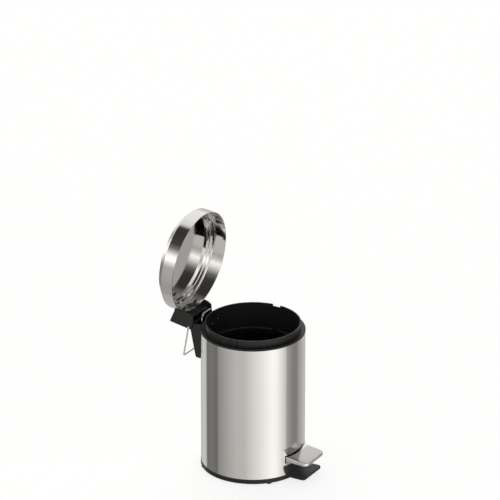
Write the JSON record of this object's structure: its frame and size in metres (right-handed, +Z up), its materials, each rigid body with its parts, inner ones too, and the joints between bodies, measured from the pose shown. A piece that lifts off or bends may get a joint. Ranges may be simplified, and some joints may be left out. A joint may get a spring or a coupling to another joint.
{
  "type": "pedal trash can",
  "caption": "Small round pedal bin of polished steel with a black base and top ring, a hinged lid standing open, a rear carrying handle and a lift-out bucket.",
  "frame": {"origin": "centre of the round base, on the floor", "axes": "+Z up, -Y towards the pedal, +Y towards the hinge, +X to the right of someone who faces the hinge side from the pedal"},
  "size_m": [0.1708, 0.2579, 0.4226],
  "materials": {
    "polished_steel": "mirror polished stainless steel",
    "bright_wire": "bright plated wire",
    "bright_pressing": "bright plated pressing",
    "plated_steel": "zinc plated",
    "black_plastic": "satin moulded",
    "bucket_plastic": "fine grained moulded",
    "black_rubber": "matte"
  },
  "bodies": {
    "bin": {"outer_shell": "polished_steel", "base_tray": "black_plastic", "base_feet": "black_rubber", "top_ring": "black_plastic", "anchor_strap": "plated_steel", "ring_screws": "plated_steel", "bracket_screws": "plated_steel", "hinge_bracket": "black_plastic", "hinge_pin": "plated_steel", "lifter_guide": "black_plastic", "lever_buffer": "black_rubber"},
    "lid": {"lid_shell": "polished_steel", "lid_bracket": "black_plastic"},
    "handle": {"carry_handle": "bright_wire"},
    "lifter": {"lifter_wire": "bright_wire"},
    "pedal": {"pedal_tread": "bright_pressing", "lever_bar": "plated_steel", "pedal_rivets": "plated_steel", "pedal_axle": "plated_steel", "axle_clips": "plated_steel", "lifter_saddle": "black_plastic"},
    "bucket": {"inner_bucket": "bucket_plastic"},
    "bail": {"bucket_bail": "bucket_plastic"}
  },
  "joints": [
    {"name": "lid_hinge", "type": "hinge", "parent": "bin", "child": "lid", "pos_m": [0, 0.103, 0.2327], "axis": [1, 0, 0], "range_deg": [0, 84.1]},
    {"name": "pedal_hinge", "type": "hinge", "parent": "bin", "child": "pedal", "pos_m": [0, -0.07447, 0.03545], "axis": [-1, 0, 0], "range_deg": [0, 10.28]},
    {"name": "lifter_slide", "type": "slide", "parent": "bin", "child": "lifter", "axis": [0, -0.0872, -0.9962], "range_m": [0, 0.02561]},
    {"name": "handle_hinge", "type": "hinge", "parent": "bin", "child": "handle", "pos_m": [0, 0.103, 0.2327], "axis": [1, 0, 0], "range_deg": [-14, 110]},
    {"name": "bucket_lift", "type": "slide", "parent": "bin", "child": "bucket", "axis": [0, 0, 1], "range_m": [0, 0.23]},
    {"name": "bail_hinge", "type": "hinge", "parent": "bucket", "child": "bail", "pos_m": [0, 0, 0.2021], "axis": [1, 0, 0], "range_deg": [0, 180]}
  ],
  "couplings": [
    {"joint": "pedal_hinge", "follows": "lid_hinge", "ratio": 0.12207},
    {"joint": "lifter_slide", "follows": "lid_hinge", "m_per_rad": 0.01744}
  ]
}
